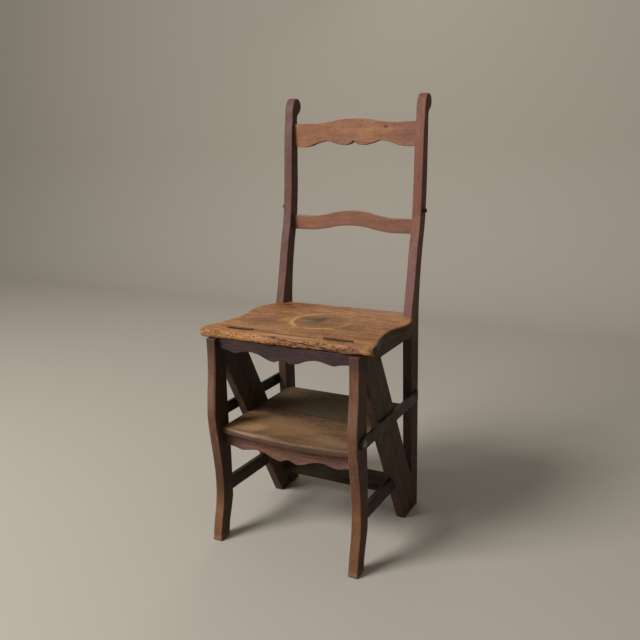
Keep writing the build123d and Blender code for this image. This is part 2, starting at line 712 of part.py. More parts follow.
def hinge_pockets(facing):
    """Housings for the leaves and knuckles of both hinges, inside a seat board's block."""
    pocket_low = hinge_height - leaf_height - hinge_pocket_play
    deep = leaf_gap + leaf_thickness
    for side, _ in sides:
        with Locations((
            side * hinge_center_x, hinge_y + facing * deep / 2,
            (pocket_low + seat_top + overrun) / 2,
        )):
            Box(
                hinge_length + 2 * hinge_pocket_play, deep,
                seat_top + overrun - pocket_low, mode=Mode.SUBTRACT,
            )
        with Locations(Plane((side * hinge_center_x, hinge_y, hinge_height), z_dir=(1, 0, 0))):
            Cylinder(
                knuckle_radius + hinge_pocket_play,
                hinge_length + 2 * (pin_head_length + fit + hinge_pocket_play), mode=Mode.SUBTRACT,
            )
        with Locations(*[
            Plane(
                (side * hinge_center_x + x, hinge_y + facing * deep, hinge_height - screw_drop),
                z_dir=(0, facing, 0),
            )
            for x in screw_places
        ]):
            Cylinder(screw_radius + bore_play, 2 * screw_length, mode=Mode.SUBTRACT)


# Seat front strip: the fixed nosing in front of the hinges
with BuildPart() as seat_front_strip:
    with BuildSketch(Plane.XY.offset(seat_under)):
        with BuildLine():
            for side, _ in sides:
                corner = CenterArc(
                    (side * (corner_x - seat_corner_radius), corner_y), seat_corner_radius,
                    -90 if side > 0 else 180, 90,
                )
                Line((side * corner_x, corner_y), (side * joint_x, strip_back))
            flat_x = corner_x - seat_corner_radius
            wave_shares = ((-1.0, 0.0), (-0.57, 1.0), (0.0, 0.0), (0.57, 1.0), (1.0, 0.0))
            waves = [(share * flat_x, nosing_y + wave * seat_wave) for share, wave in wave_shares]
            arcs(waves, (1, 0), (1, 0))
            Line((-joint_x, strip_back), (joint_x, strip_back))
        make_face()
    extrude(amount=seat_thickness)
    rims = seat_front_strip.faces().filter_by(Axis.Z).edges()
    fillet(rims.filter_by_position(Axis.Y, nosing_y - overrun, strip_back - overrun), nosing_radius)
    hinge_pockets(-1)
    with Locations(*[
        (side * middle_of_stock, toe_y + strip_dowel_setback, seat_under) for side, _ in sides
    ]):
        Cylinder(dowel_diameter / 2, dowel_length + 2 * fit, mode=Mode.SUBTRACT)
save(seat_front_strip, "seat_front_strip")

# Seat panel: the rest of the seat, waisted at the sides and notched round the posts
with BuildPart() as seat_panel:
    with BuildSketch(Plane.XY.offset(seat_under)):
        with BuildLine():
            for side, _ in sides:
                arcs((
                    (side * joint_x, panel_front),
                    (side * waist_x, waist_y),
                    (side * hip_x, hip_y),
                    (side * half_width, post_front_y),
                ))
                Polyline(
                    (side * half_width, post_front_y), (side * inner, post_front_y),
                    (side * inner, seat_back_y),
                )
            Line((-joint_x, panel_front), (joint_x, panel_front))
            Line((-inner, seat_back_y), (inner, seat_back_y))
        make_face()
    extrude(amount=seat_thickness)
    rims = seat_panel.faces().filter_by(Axis.Z).edges()
    fillet(rims.filter_by(GeomType.CIRCLE), nosing_radius)
    hinge_pockets(1)
    with Locations(*[(side * middle_of_stock, y, seat_under) for side, _ in sides for y in dowel_places]):
        Cylinder(dowel_diameter / 2, dowel_length + 2 * fit, mode=Mode.SUBTRACT)
save(seat_panel, "seat_panel")

# Dowels between the seat boards and what carries them
for name, places in (
    ("strip_dowels", [toe_y + strip_dowel_setback]),
    ("panel_dowels", dowel_places),
):
    with BuildPart() as dowels:
        with Locations(*[(side * middle_of_stock, y, seat_under) for side, _ in sides for y in places]):
            Cylinder(dowel_diameter / 2 - fit / 2, dowel_length)
    save(dowels, name)

# Screws of the hinge leaves, heads flush with the leaves
for facing, name in ((-1, "front_leaf_screws"), (1, "rear_leaf_screws")):
    with BuildPart() as leaf_screws:
        head_depth = screw_head_radius - screw_radius
        for side, _ in sides:
            for x in screw_places:
                head = Plane(
                    (side * hinge_center_x + x, hinge_y + facing * leaf_gap, hinge_height - screw_drop),
                    x_dir=(1, 0, 0), z_dir=(0, facing, 0),
                )
                with BuildSketch(head):
                    Circle(screw_head_radius)
                with BuildSketch(head.offset(head_depth)):
                    Circle(screw_radius)
                loft()
                with BuildSketch(head.offset(head_depth)):
                    Circle(screw_radius)
                extrude(amount=screw_length - head_depth)
    save(leaf_screws, name)


def round_head(plane, shank, head_radius, head_height, buried, reach):
    """A round-headed screw: the shank from inside the wood, and a domed head at its reach."""
    crown = (head_radius**2 + head_height**2) / (2 * head_height)
    with BuildSketch(plane) as profile:
        with BuildLine():
            Polyline(
                (0, -buried), (shank, -buried), (shank, reach), (head_radius, reach),
            )
            ThreePointArc(
                (head_radius, reach),
                (head_radius / 2, reach + (crown**2 - (head_radius / 2) ** 2) ** 0.5 - crown + head_height),
                (0, reach + head_height),
            )
            Line((0, reach + head_height), (0, -buried))
        make_face()
    revolve(profile.sketch, axis=Axis(plane.origin, plane.y_dir))


# Studs on the rear legs and on the posts, and the pivot screws of the bars
stud_reach_out = stud_head_x - half_width
washer_gap = bar_standoff - washer_play
for name, place, shank, head_r, head_h, reach in (
    ("leg_studs", leg_stud, stud_radius, stud_head_radius, stud_head_height, stud_reach_out),
    ("post_studs", post_stud, stud_radius, stud_head_radius, stud_head_height, stud_reach_out),
    ("pivot_screws", pivot, pivot_radius, pivot_head_radius, pivot_head_height,
     bar_standoff + bar_thickness + washer_play + washer_gap),
):
    with BuildPart() as screws:
        for side, _ in sides:
            base = Plane(
                (side * half_width, *place), x_dir=(0, 0, 1), z_dir=(0, side, 0),
            )
            round_head(base if base.y_dir.X * side > 0 else base.rotated((0, 0, 180)),
                       shank, head_r, head_h, stud_depth, reach)
    save(screws, name)

# Washers on both faces of each bar, round the pivot screw
with BuildPart() as pivot_washers:
    for side, _ in sides:
        for x in (half_width, bar_x + bar_thickness + washer_play):
            with BuildSketch(Plane((side * x, *pivot), z_dir=(side, 0, 0))):
                Circle(washer_radius)
                Circle(pivot_radius + bore_play, mode=Mode.SUBTRACT)
            extrude(amount=washer_gap)
save(pivot_washers, "pivot_washers")

print(f"bar swing {bar_swing:.3f} degrees, post stud at y {post_stud[0]:.3f}, z {post_stud[1]:.3f}")
print(f"hinge line y {hinge_y:.3f}, pivot y {pivot[0]:.3f}, leg stud y {leg_stud[0]:.3f}")
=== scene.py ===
from math import radians

import bmesh
import bpy
import numpy as np
from mathutils import Matrix, Vector


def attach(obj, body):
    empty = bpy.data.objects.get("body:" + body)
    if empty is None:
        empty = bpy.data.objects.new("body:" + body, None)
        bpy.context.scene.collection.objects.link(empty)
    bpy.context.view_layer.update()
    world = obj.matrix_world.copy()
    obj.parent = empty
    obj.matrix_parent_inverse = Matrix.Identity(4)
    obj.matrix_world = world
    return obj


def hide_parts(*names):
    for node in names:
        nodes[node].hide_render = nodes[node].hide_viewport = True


# Library step chair in old waxed wood, standing as a chair. Metres, +Z up, the sitter faces -Y.
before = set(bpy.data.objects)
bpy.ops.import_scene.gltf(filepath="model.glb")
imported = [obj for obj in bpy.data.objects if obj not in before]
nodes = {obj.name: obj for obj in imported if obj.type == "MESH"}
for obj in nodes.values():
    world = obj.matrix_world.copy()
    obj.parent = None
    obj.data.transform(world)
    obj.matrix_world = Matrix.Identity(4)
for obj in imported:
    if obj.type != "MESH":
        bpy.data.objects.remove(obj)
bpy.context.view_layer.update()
mm = 0.001
bpy.context.scene.view_settings.view_transform = "Standard"
print("frame loaded:", len(nodes), "nodes")

# Camera, as fitted to the photograph: a point, a heading, a tilt and a small roll
view = {
    "place": (0.6679, -1.2960, 0.8083),
    "heading": 26.81,
    "tilt": -13.01,
    "roll": -0.74,
    "lens": 40.24,
    "sensor": 36,
    "shiftX": -0.0118,
    "shiftY": -0.0161,
}


def placed(name, data):
    # an object with this data, in the scene
    thing = bpy.data.objects.new(name, data)
    bpy.context.scene.collection.objects.link(thing)
    return thing


def makeCamera():
    # looking level along +Y, then rolled, tilted about X, turned about Z and moved to its place
    data = bpy.data.cameras.new("camera")
    data.lens = view["lens"]
    data.sensor_width = view["sensor"]
    data.shift_x = view["shiftX"]
    data.shift_y = view["shiftY"]
    camera = placed("camera", data)
    turn = Matrix.Rotation(radians(view["heading"]), 4, "Z")
    turn = turn @ Matrix.Rotation(radians(90 + view["tilt"]), 4, "X")
    turn = turn @ Matrix.Rotation(radians(view["roll"]), 4, "Z")
    camera.matrix_world = Matrix.Translation(Vector(view["place"])) @ turn
    bpy.context.scene.camera = camera


makeCamera()


def linear(hexColor):
    # sRGB hex to linear: c / 12.92 near black, ((c + 0.055) / 1.055) to the power 2.4 above
    parts = [int(hexColor[i:i + 2], 16) / 255 for i in (0, 2, 4)]
    return [c / 12.92 if c <= 0.04045 else ((c + 0.055) / 1.055) ** 2.4 for c in parts] + [1.0]


def add(tree, kind, sockets=None, out=None, **settings):
    # one node with its settings; a socket takes a value or another node's output.
    # Gives back the output named out, or else the first one that is in use
    node = tree.nodes.new(kind)
    for key, value in settings.items():
        setattr(node, key, value)
    for key, value in (sockets or {}).items():
        if isinstance(value, bpy.types.NodeSocket):
            tree.links.new(value, node.inputs[key])
        else:
            node.inputs[key].default_value = value
    if out is not None:
        return node.outputs[out]
    return next((output for output in node.outputs if output.enabled), None)


def startMaterial(name):
    # an empty material and its nodes
    material = bpy.data.materials.new(name)
    material.use_nodes = True
    material.node_tree.nodes.clear()
    return material, material.node_tree


def endMaterial(tree, sockets):
    # the shader, with these values and outputs in its sockets, gives the surface
    shader = add(tree, "ShaderNodeBsdfPrincipled", sockets)
    add(tree, "ShaderNodeOutputMaterial", {"Surface": shader})


def gridMesh(name, points, closed=False):
    # quads over a grid of points, rows by columns; closed joins the last row to the first
    rows, columns = points.shape[:2]
    index = np.arange(rows * columns).reshape(rows, columns)
    if closed:
        index = np.concatenate([index, index[:1]], 0)
    corners = [index[:-1, :-1], index[:-1, 1:], index[1:, 1:], index[1:, :-1]]
    faces = np.stack(corners, -1).reshape(-1, 4)
    mesh = bpy.data.meshes.new(name)
    mesh.from_pydata(points.reshape(-1, 3).tolist(), [], faces.tolist())
    mesh.shade_smooth()
    return placed(name, mesh)


# Studio: a pale sweep, a soft lamp at the left front, a weak one behind, and a dim pale world
studio = {
    "floorColor": "beb5a9", "floorRoughness": 0.9, "floorShine": 0.1,
    "sweepFront": -14, "sweepDepth": 2.6, "sweepHeight": 3.4, "sweepBend": 0.8,
    "sweepHalfWidth": 14, "sweepColumns": 12, "bendSteps": 24,
    "keyPlace": (-1.7, -2.5, 2.6), "keySize": 1.7, "keyPower": 135,
    "backPlace": (-0.9, 2.0, 2.4), "backSize": 1.2, "backPower": 6,
    "lampTarget": (0, 0, 0.4),
    "worldColor": "e4e6e0", "worldStrength": 0.25,
    "shownColor": "8f887d",
}


def makeSweep():
    # profile in Y and Z: a flat floor, a quarter circle up, then a wall; carried along X
    depth, bend = studio["sweepDepth"], studio["sweepBend"]
    angle = np.linspace(0, np.pi / 2, studio["bendSteps"])
    curveY = depth - bend + bend * np.sin(angle)
    curveZ = bend - bend * np.cos(angle)
    profileY = np.concatenate([[studio["sweepFront"], 0], curveY, [depth]])
    profileZ = np.concatenate([[0, 0], curveZ, [studio["sweepHeight"]]])
    half = studio["sweepHalfWidth"]
    x = np.linspace(-half, half, studio["sweepColumns"])
    points = np.stack(np.broadcast_arrays(x[:, None], profileY, profileZ), -1)
    sweep = gridMesh("studioSweep", points)
    sweep.data.flip_normals()
    material, tree = startMaterial("palePaint")
    endMaterial(tree, {
        "Base Color": linear(studio["floorColor"]), "Roughness": studio["floorRoughness"],
        "Specular IOR Level": studio["floorShine"]})
    sweep.data.materials.append(material)


def makeLamp(name):
    # a round lamp at its place, looking at the chair
    lamp = bpy.data.lights.new(name + "Lamp", "AREA")
    lamp.shape = "DISK"
    lamp.size = studio[name + "Size"]
    lamp.energy = studio[name + "Power"]
    stand = placed(name + "Lamp", lamp)
    stand.location = studio[name + "Place"]
    aim = Vector(studio["lampTarget"]) - stand.location
    stand.rotation_euler = aim.to_track_quat("-Z", "Y").to_euler()


def makeWorld():
    # the world lights dimly, and shows the wall's colour where the sweep ends
    world = bpy.data.worlds.new("studioWorld")
    world.use_nodes = True
    tree = world.node_tree
    tree.nodes.clear()
    seen = 0.0
    for ray in ("Is Camera Ray", "Is Glossy Ray", "Is Transmission Ray"):
        hit = add(tree, "ShaderNodeLightPath", out=ray)
        seen = add(tree, "ShaderNodeMath", {0: seen, 1: hit}, operation="MAXIMUM")
    light = add(tree, "ShaderNodeBackground", {
        "Color": linear(studio["worldColor"]), "Strength": studio["worldStrength"]})
    wall = add(tree, "ShaderNodeBackground", {
        "Color": linear(studio["shownColor"]), "Strength": 1.0})
    either = add(tree, "ShaderNodeMixShader", {0: seen, 1: light, 2: wall})
    add(tree, "ShaderNodeOutputWorld", {"Surface": either})
    bpy.context.scene.world = world


makeSweep()
makeLamp("key")
makeLamp("back")
makeWorld()
print("camera and studio made")


def eased(share):
    # 0 below 0 and 1 above 1, with the smooth cubic 3 s^2 - 2 s^3 between
    share = np.clip(share, 0, 1)
    return share * share * (3 - 2 * share)


def waves(u, v, seed):
    # random heights from 0 to 1 at whole numbers of u and v, eased between them
    rows, columns = 211, 97
    grid = np.random.default_rng(seed).uniform(0, 1, (rows, columns))
    row, column = np.floor(u).astype(int), np.floor(v).astype(int)
    along, across = eased(u - row), eased(v - column)
    near, far = (grid[row % rows, (column + j) % columns] * (1 - along)
                 + grid[(row + 1) % rows, (column + j) % columns] * along for j in (0, 1))
    return near * (1 - across) + far * across


# Front strip: the CAD strip itself, cut into finer faces and worn away along its front.
# Millimetres; a wave is its depth, its length along X and along Z, and its seed
nosing = {
    "cutEvery": 2.5, "cutEnd": 187.5,  # cuts across the strip, and where the last ones are
    "cutRows": range(-171, -159),  # cuts along it, at these Y
    "cutLevels": (444.0, 445.5, 447.0),  # and level cuts
    "wearFrom": -160, "wearFull": -168,  # where along Y the wear starts, and where it is full
    "lump": (0.8, 13, 7, 3), "ripple": (0.35, 5, 3, 4),
    "split": (1.3, 7, 6), "splitWidth": 1.1,  # the long split: depth, length of its waves, seed
    "splitSway": (1.6, 9, 5),  # how far it strays up and down, in the same order
    "splitLeft": -26, "splitRight": 128, "splitFade": 14,
    "recess": 0.8, "recessEdge": 1.5,  # depth of the lip broken off under the split
    "chip": (1.5, 6, 9, 13), "chipFrom": -70, "chipTo": 115,  # chips out of the lower lip
    "chipFadeLeft": 30, "chipFadeRight": 12,
    "chipTop": 446, "chipHeight": 4,  # they start at this height, and are full so much lower
    "chipLevel": 0.45, "chipEdge": 0.4,  # only waves over this level, full so much over it
    "lift": 4.2, "liftFrom": 126, "liftFull": 176,  # the lip is rubbed up at the right end
    "liftTop": 455, "thickness": 21,  # the top stays, and the underside goes up in full
    "sharpFrom": 38,  # degrees between faces from which an edge shows
}
splitLine = {"height": 454.0, "at": -24, "slope": -0.0816}  # at this X, and fall over each mm


def makeNosing():
    # each point goes inwards along its normal by the sum of wide and narrow waves, a split whose
    # depth is a bell curve about its line, the recess under it and the chips; all times the wear,
    # which eases in along Y. The lower lip then goes up at its right end
    solid = bmesh.new()
    solid.from_mesh(nodes["seat_front_strip"].data)
    bmesh.ops.remove_doubles(solid, verts=solid.verts, dist=1e-5)
    end, every = nosing["cutEnd"], nosing["cutEvery"]
    cuts = [((x * mm, 0, 0), (1, 0, 0)) for x in np.arange(-end, end + every / 5, every)]
    cuts += [((0, y * mm, 0), (0, 1, 0)) for y in nosing["cutRows"]]
    cuts += [((0, 0, z * mm), (0, 0, 1)) for z in nosing["cutLevels"]]
    for place, facing in cuts:
        everything = solid.verts[:] + solid.edges[:] + solid.faces[:]
        bmesh.ops.bisect_plane(solid, geom=everything, plane_co=place, plane_no=facing, dist=1e-6)
    bmesh.ops.triangulate(solid, faces=solid.faces[:])
    mesh = bpy.data.meshes.new("wornFrontStrip")
    solid.to_mesh(mesh)
    solid.free()
    points, normals = np.empty(len(mesh.vertices) * 3), np.empty(len(mesh.vertices) * 3)
    mesh.vertices.foreach_get("co", points)
    mesh.vertex_normals.foreach_get("vector", normals)
    points, normals = points.reshape(-1, 3), normals.reshape(-1, 3)
    x, y, z = points.T / mm
    wear = eased((nosing["wearFrom"] - y) / (nosing["wearFrom"] - nosing["wearFull"]))
    inward = 0
    for depth, lengthX, lengthZ, seed in (nosing["lump"], nosing["ripple"]):
        inward = inward + depth * waves(x / lengthX, z / lengthZ, seed)
    sway, length, seed = nosing["splitSway"]
    line = splitLine["height"] + splitLine["slope"] * (x - splitLine["at"])
    line = line + sway * (waves(x / length, z * 0, seed) - 0.5)
    fade = nosing["splitFade"]
    ends = eased((x - nosing["splitLeft"]) / fade) * eased((nosing["splitRight"] - x) / fade)
    depth, length, seed = nosing["split"]
    bell = np.exp(-((z - line) / nosing["splitWidth"]) ** 2)
    inward += depth * ends * bell * waves(x / length, z * 0, seed)
    inward += nosing["recess"] * ends * eased((line - z) / nosing["recessEdge"])
    depth, lengthX, lengthZ, seed = nosing["chip"]
    chips = waves(x / lengthX, z / lengthZ, seed) - nosing["chipLevel"]
    chips = eased(chips / nosing["chipEdge"])
    chips *= eased((x - nosing["chipFrom"]) / nosing["chipFadeLeft"])
    chips *= eased((nosing["chipTo"] - x) / nosing["chipFadeRight"])
    inward += depth * chips * eased((nosing["chipTop"] - z) / nosing["chipHeight"])
    points -= normals * (wear * inward * mm)[:, None]
    rubbed = eased((x - nosing["liftFrom"]) / (nosing["liftFull"] - nosing["liftFrom"]))
    low = np.clip((nosing["liftTop"] - z) / nosing["thickness"], 0, 1)
    points[:, 2] += nosing["lift"] * mm * wear * rubbed * low
    mesh.vertices.foreach_set("co", points.ravel())
    mesh.update()
    mesh.shade_smooth()
    mesh.set_sharp_from_angle(angle=radians(nosing["sharpFrom"]))
    piece = placed("wornFrontStrip", mesh)
    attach(piece, "front_frame")
    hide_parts("seat_front_strip")
    return piece


# Low side rails: boards on edge from the leg back to the slanted string, sinking a little
# towards it, taller and thinner than the plain rails of the CAD model. Millimetres
lowRail = {
    "inner": 149.5, "outer": 160.5,
    "bottom": 94.9, "height": 30.0, "sink": 4.0,
    "legFace": -140.9, "stringFace": 10.9,  # where the string's face is at the CAD rail's bottom
    "lean": 0.5497,  # how far the string's face comes forward over each millimetre of height
    "arris": 1.6, "arrisSteps": 5, "lengthSteps": 40,
    "wander": 0.35,  # how far the surface strays, by waves
    "waveX": (30, 15, 8), "waveZ": (22, 11),  # lengths of the waves, and a seed
    "sharpFrom": 50,  # degrees between faces from which an edge shows
}


def makeLowRail(name, side):
    # a rounded rectangle in X and Z, carried from the leg's back to the string's slanted face:
    # Y is the leg's face plus a share of the way, Z sinks by that share, and waves stray from both
    width, height, arris = lowRail["outer"] - lowRail["inner"], lowRail["height"], lowRail["arris"]
    angle = np.linspace(0, np.pi / 2, lowRail["arrisSteps"])
    quarterX = width / 2 - arris + arris * np.cos(angle)
    quarterZ = height / 2 - arris + arris * np.sin(angle)
    crossX = np.concatenate([quarterX, -quarterX[::-1], -quarterX, quarterX[::-1]])
    crossZ = np.concatenate([quarterZ, quarterZ[::-1], -quarterZ, -quarterZ[::-1]])
    share = np.concatenate([[0], np.linspace(0, 1, lowRail["lengthSteps"]), [1]])
    reach = np.ones(len(share))
    reach[[0, -1]] = 0  # draws each end together in its middle
    x = (lowRail["inner"] + lowRail["outer"]) / 2 + crossX[:, None] * reach
    up = lowRail["bottom"] + height / 2 + crossZ[:, None] * reach
    end = lowRail["stringFace"] - lowRail["lean"] * (up - lowRail["sink"] - lowRail["bottom"])
    y = lowRail["legFace"] + (end - lowRail["legFace"]) * share
    z = up - lowRail["sink"] * share
    lengthY, lengthZ, seed = lowRail["waveX"]
    x = x + lowRail["wander"] * (waves(y / lengthY, z / lengthZ, seed + side) - 0.5) * reach
    lengthY, seed = lowRail["waveZ"]
    z = z + lowRail["wander"] * (waves(y / lengthY, z * 0, seed + side) - 0.5) * reach
    piece = gridMesh(name, np.stack([side * x, y, z], -1) * mm, closed=True)
    solid = bmesh.new()
    solid.from_mesh(piece.data)
    bmesh.ops.remove_doubles(solid, verts=solid.verts, dist=1e-6)
    bmesh.ops.recalc_face_normals(solid, faces=solid.faces)
    solid.to_mesh(piece.data)
    solid.free()
    piece.data.shade_smooth()
    piece.data.set_sharp_from_angle(angle=radians(lowRail["sharpFrom"]))
    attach(piece, "front_frame")
    return piece


frontStrip = makeNosing()
lowRails = [makeLowRail("lowRailBoardLeft", -1), makeLowRail("lowRailBoardRight", 1)]
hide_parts("low_side_rail_left")
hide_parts("low_side_rail_right")
print("worn strip and low rails made:", len(frontStrip.data.polygons), "faces on the strip")

# Wood: waxed beech for the frame, elm for seat and treads, sawn and planed by hand, rubbed for
# a century and a half. That gives the eye long soft fibre, dark pores, and a dull wax shine.
# A pattern is its size across the grain in millimetres, its length over its width, and its
# detail; real pores are finer, and are drawn coarse enough to show. A ramp is where a mask is 0
# and where it is 1, and a share is how strong that mask is.
railWood = {  # crest rail: rubbed orange brown
    "deep": "5a3220", "base": "82513a", "light": "aa7a58", "bloom": "805a4a", "honey": "ae7b4c",
    "figure": (16, 7, 3.0), "figureWaver": (60, 5), "figureShare": 0.4,
    "fiber": (3.4, 12, 3.0), "fiberShare": 0.35, "lightRamp": (-0.1, 1.1),
    "cloud": (70, 1, 4.0), "bloomRamp": (0.42, 0.62), "bloomShare": 0.45,
    "rub": (30, 2.5, 4.0), "honeyRamp": (0.5, 0.68), "honeyShare": 0.4,
    "pore": (2.6, 8, 2.0), "poreRamp": (0.43, 0.30), "poreShare": 0.35,
    "fleck": (2.4, 1.6, 1.0), "paleFleckRamp": (0.52, 0.68), "darkFleckRamp": (0.46, 0.32),
    "fleckShare": 0.35,
    "shine": (28, 1, 3.0), "shineRamp": (0.3, 0.7), "roughness": (0.55, 0.75), "specular": 0.3,
    "relief": 0.2, "reliefDepth": 0.6,  # strength, and millimetres, of fibre and pores
    "fiberRise": 0.6,  # how far fibre stands up, as a share of what a pore goes down
    "dents": (9, 2.5, 2.0), "dentStrength": 0.4, "dentDepth": 1.5,
    "cutDepth": 1.5,  # millimetres from the surface to the bottom of a hole or crack
    "rounding": 2.5,  # millimetres over which the arrises are rubbed round
    "arrisRamp": (0.98, 0.85),  # by the cosine of how far that turns the surface
    "arrisPatches": (14, 2, 2.0), "arrisPatchRamp": (0.35, 0.6),
    "spotWaver": 30, "undersideRamp": (-0.3, -0.7),
}
backRailWood = {**railWood,  # back rail: the same, a little duller
    "base": "774a38", "light": "98694f", "bloom": "7c5a50", "honey": "97694a", "bloomShare": 0.6,
}
postWood = {**railWood,  # posts: the same wood under a mauve bloom of old polish
    "deep": "3b1f19", "base": "704437", "light": "8f6150", "bloom": "7a5455", "honey": "905c3f",
    "fiberShare": 0.5, "bloomShare": 0.6, "honeyShare": 0.45,
}
legWood = {**railWood,  # front legs: browner, golden where shoes rubbed them
    "deep": "2a1811", "base": "5c3a29", "light": "80583f", "bloom": "553a34", "honey": "875630",
    "figureShare": 0.8, "fiberShare": 0.75, "poreShare": 0.55, "bloomShare": 0.5, "honeyShare": 0.6,
}
treadApronWood = {**legWood,  # tread apron: kicked and rubbed paler than the legs
    "deep": "331f19", "base": "674538", "light": "8a6350", "bloom": "674a4e", "honey": "845a40",
    "figureShare": 0.6, "fleckShare": 0.55,
}
apronPaintedShadeWood = {**legWood,  # front apron: dark purple brown, partly painted shade under the seat's overhang
    "deep": "160f0f", "base": "31211f", "light": "412c2b", "bloom": "35252f", "honey": "593a2d",
    "figureShare": 0.5, "bloomShare": 0.7, "honeyShare": 0.25,
}
paintedShadeWood = {**railWood,  # strings and seat rails: dark, painted shade of the parts under the seat
    "deep": "16100c", "base": "3b2b20", "light": "503c2e", "bloom": "383327", "honey": "5a3e2a",
    "bloomShare": 0.5, "honeyShare": 0.4,
}
lowRailPaintedShadeWood = {**paintedShadeWood,  # low rails: darker still, painted shade low under the seat
    "deep": "0f0b08", "base": "2c2018", "light": "3c2d22", "bloom": "2a241b", "honey": "48311f",
}
seatWood = {**railWood,  # seat: rubbed to the golden fibre, with dirt in its pores
    "deep": "4d2a15", "base": "905c37", "light": "bc8753", "bloom": "906248", "honey": "c38a48",
    "figure": (14, 7, 3.0), "fiber": (3.6, 12, 3.0), "pore": (2.8, 8, 2.0),
    "figureShare": 0.7, "fiberShare": 0.85, "poreShare": 0.7, "bloomShare": 0.5, "honeyShare": 0.5,
    "fleckShare": 0.55, "roughness": (0.52, 0.72), "relief": 0.35,
}
treadWood = {**seatWood,  # treads: the same wood, browner, dull from shoes and dust
    "deep": "2f1f13", "base": "674830", "light": "876747", "bloom": "614a38", "honey": "946f47",
    "fiberShare": 0.5, "poreShare": 0.4, "roughness": (0.65, 0.85),
}
backTreadDustAndPaintedShadeWood = {**treadWood,  # upper tread, behind the front one: darker, painted shade under the seat, and dust
    "deep": "241c13", "base": "4f3e2b", "light": "624e35", "bloom": "4b3f2f", "honey": "684f32",
    "roughness": (0.85, 1.0),
}
topTreadPaintedShadeWood = {**backTreadDustAndPaintedShadeWood,  # the tread near the floor, darker still with painted shade
    "deep": "17110b", "base": "33271b", "light": "443523", "bloom": "30281e", "honey": "493722",
}
grainTurns = {  # turns that bring the grain of a piece along X
    "x": (0, 0, 0),
    "y": (0, 0, radians(90)),
    "z": (0, radians(90), 0),
    "lean": (radians(28.8), radians(90), 0),
}


def mask(tree, share, *factors):
    # share times its factors: each is another mask, or a ramp (value, low, high), which is
    # 0 up to low and 1 from high on, smooth between
    for factor in factors:
        if isinstance(factor, tuple):
            value, low, high = factor
            share = add(tree, "ShaderNodeMapRange", {
                "Value": value, "From Min": low, "From Max": high, "To Max": share},
                interpolation_type="SMOOTHSTEP")
        else:
            share = add(tree, "ShaderNodeMath", {0: share, 1: factor}, operation="MULTIPLY")
    return share


def stained(tree, color, shade, share, *factors):
    # the colour with a hex shade over it, as far as the mask says; 6 and 7 are the two colours
    sockets = {0: mask(tree, share, *factors), 6: color, 7: linear(shade)}
    return add(tree, "ShaderNodeMix", sockets, data_type="RGBA")


def grained(tree, where, pattern, out="Fac"):
    # random cells of a size in millimetres across the grain, drawn out along it
    size, ratio, detail = pattern
    across = 1 / (size * mm)
    scale = (across / ratio, across, across)
    stretched = add(tree, "ShaderNodeMapping", {"Vector": where, "Scale": scale})
    sockets = {"Vector": stretched, "Scale": 1.0, "Detail": detail}
    return add(tree, "ShaderNodeTexNoise", sockets, out=out)


def wavered(tree, where, size, amount):
    # coordinates pushed up to an amount of millimetres each way by random cells of that size,
    # so that no stain has a ruled edge
    push = grained(tree, where, (size, 1, 2.0), out="Color")
    push = add(tree, "ShaderNodeVectorMath", {0: push, 1: (0.5, 0.5, 0.5)}, operation="SUBTRACT")
    push = add(tree, "ShaderNodeVectorMath", {0: push, "Scale": 2 * amount * mm}, operation="SCALE")
    return add(tree, "ShaderNodeVectorMath", {0: where, 1: push}, operation="ADD")


def ellipsoid(tree, where, middle, reach, edge):
    # a mask: 1 inside an ellipsoid given in metres, fading out over the edge's share of it
    away = add(tree, "ShaderNodeVectorMath", {0: where, 1: middle}, operation="SUBTRACT")
    away = add(tree, "ShaderNodeVectorMath", {0: away, 1: reach}, operation="DIVIDE")
    away = add(tree, "ShaderNodeVectorMath", {0: away}, operation="LENGTH")
    return mask(tree, 1.0, (away, 1.0, 1.0 - edge))


